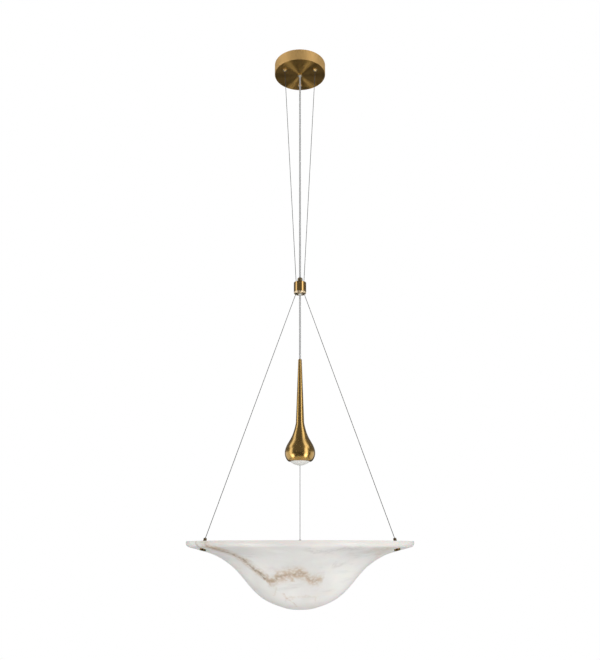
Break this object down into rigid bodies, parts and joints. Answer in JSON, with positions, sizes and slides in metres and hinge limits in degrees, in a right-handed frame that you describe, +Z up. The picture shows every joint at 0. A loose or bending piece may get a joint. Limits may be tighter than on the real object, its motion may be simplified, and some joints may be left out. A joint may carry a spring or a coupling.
{
  "type": "pendant light",
  "caption": "Pendant light: a round brass canopy, wire ropes down to a small hub, a drop-shaped lamp on its cable, and a wide marbled bowl hung below by its flange.",
  "frame": {"origin": "middle of the canopy's top edge, in the plane of the ceiling, between the bracket's slots", "axes": "+Z up into the ceiling, +X to the right seen from the front, -Y towards the viewer"},
  "size_m": [0.4999, 0.5, 1.3735],
  "materials": {
    "brushed_brass": "brushed",
    "rope_fittings": "turned, satin",
    "dark_brass": "darkened",
    "golden_washers": "polished",
    "plated_steel": "zinc plated",
    "spring_steel": "drawn wire",
    "wire_rope": "stranded",
    "cable_sheath": "clear PVC",
    "white_cores": "PVC",
    "brown_wire": "PVC",
    "blue_wire": "PVC",
    "green_wire": "PVC, striped",
    "white_nylon": "moulded",
    "driver_plastic": "fine texture",
    "foam_tape": "closed-cell foam",
    "marbled_resin": "satin, marbled",
    "cast_aluminium": "cast",
    "white_board": "solder mask",
    "led_phosphor": "silicone",
    "milky_lens": "opal"
  },
  "bodies": {
    "canopy": {"ceiling_bracket": "plated_steel", "canopy": "brushed_brass", "canopy_screws": "plated_steel", "earth_screw": "plated_steel", "earth_wire": "green_wire", "terminal_block": "white_nylon", "terminal_screws": "plated_steel", "live_wire": "brown_wire", "neutral_wire": "blue_wire", "driver_case": "driver_plastic", "driver_lid": "driver_plastic", "driver_pad": "foam_tape", "output_cores": "white_cores", "cable_tail": "cable_sheath", "cable_gland": "rope_fittings", "gland_nut": "rope_fittings", "gripper_nuts": "rope_fittings", "rope_tails": "wire_rope", "gripper_left": "rope_fittings", "gripper_right": "rope_fittings", "gripper_back": "rope_fittings", "plunger_spring_left": "spring_steel", "plunger_spring_right": "spring_steel", "plunger_spring_back": "spring_steel"},
    "top_bush": {"top_bush": "white_nylon"},
    "upper_suspension": {"upper_rope_left": "wire_rope", "upper_rope_right": "wire_rope", "upper_rope_back": "wire_rope", "upper_cable": "cable_sheath", "upper_ferrules": "plated_steel"},
    "hub": {"hub_body": "brushed_brass", "hub_neck": "brushed_brass", "neck_grip": "white_nylon", "hub_cable": "cable_sheath", "hub_base": "brushed_brass"},
    "bowl": {"lower_rope_left": "wire_rope", "lower_rope_right": "wire_rope", "lower_rope_back": "wire_rope", "lower_ferrules": "plated_steel", "bowl": "marbled_resin", "rim_studs": "dark_brass", "rim_washers": "golden_washers", "rim_nuts": "dark_brass"},
    "cable_bush": {"cable_bush": "white_nylon"},
    "lamp_cable": {"lamp_cable": "cable_sheath"},
    "lamp": {"lamp_cap": "white_nylon", "lamp_neck": "brushed_brass", "lamp_bell": "brushed_brass", "lamp_tube": "plated_steel", "heat_sink": "cast_aluminium", "led_board": "white_board", "led_chip": "led_phosphor", "board_screws": "plated_steel", "lens_ring": "brushed_brass", "lens": "milky_lens"},
    "plunger_left": {"plunger_left": "plated_steel"},
    "plunger_right": {"plunger_right": "plated_steel"},
    "plunger_back": {"plunger_back": "plated_steel"}
  },
  "joints": [
    {"name": "plunger_left_press", "type": "slide", "parent": "canopy", "child": "plunger_left", "axis": [0, 0, 1], "range_m": [0, 0.0015], "stiffness_N_per_m": 600, "springref_m": -0.002, "deforming": ["plunger_spring_left"]},
    {"name": "plunger_right_press", "type": "slide", "parent": "canopy", "child": "plunger_right", "axis": [0, 0, 1], "range_m": [0, 0.0015], "stiffness_N_per_m": 600, "springref_m": -0.002, "deforming": ["plunger_spring_right"]},
    {"name": "plunger_back_press", "type": "slide", "parent": "canopy", "child": "plunger_back", "axis": [0, 0, 1], "range_m": [0, 0.0015], "stiffness_N_per_m": 600, "springref_m": -0.002, "deforming": ["plunger_spring_back"]},
    {"name": "sway_front_back", "type": "hinge", "parent": "canopy", "child": "top_bush", "pos_m": [0, 0, -0.0345], "axis": [1, 0, 0], "range_deg": [-1.5, 1.5]},
    {"name": "sway_side", "type": "hinge", "parent": "top_bush", "child": "upper_suspension", "pos_m": [0, 0, -0.0345], "axis": [0, 1, 0], "range_deg": [-1.5, 1.5]},
    {"name": "hub_tilt_front_back", "type": "hinge", "parent": "upper_suspension", "child": "hub", "pos_m": [0, 0, -0.6155], "axis": [1, 0, 0], "range_deg": [-3, 3]},
    {"name": "bowl_tilt_side", "type": "hinge", "parent": "hub", "child": "bowl", "pos_m": [0, 0, -0.6523], "axis": [0, 1, 0], "range_deg": [-3, 3]},
    {"name": "lamp_sway_front_back", "type": "hinge", "parent": "hub", "child": "cable_bush", "pos_m": [0, 0, -0.6523], "axis": [1, 0, 0], "range_deg": [-5, 5]},
    {"name": "lamp_sway_side", "type": "hinge", "parent": "cable_bush", "child": "lamp_cable", "pos_m": [0, 0, -0.6523], "axis": [0, 1, 0], "range_deg": [-5, 5]},
    {"name": "lamp_twist", "type": "hinge", "parent": "lamp_cable", "child": "lamp", "pos_m": [0, 0, -0.9], "axis": [0, 0, 1], "range_deg": [-180, 180]}
  ]
}
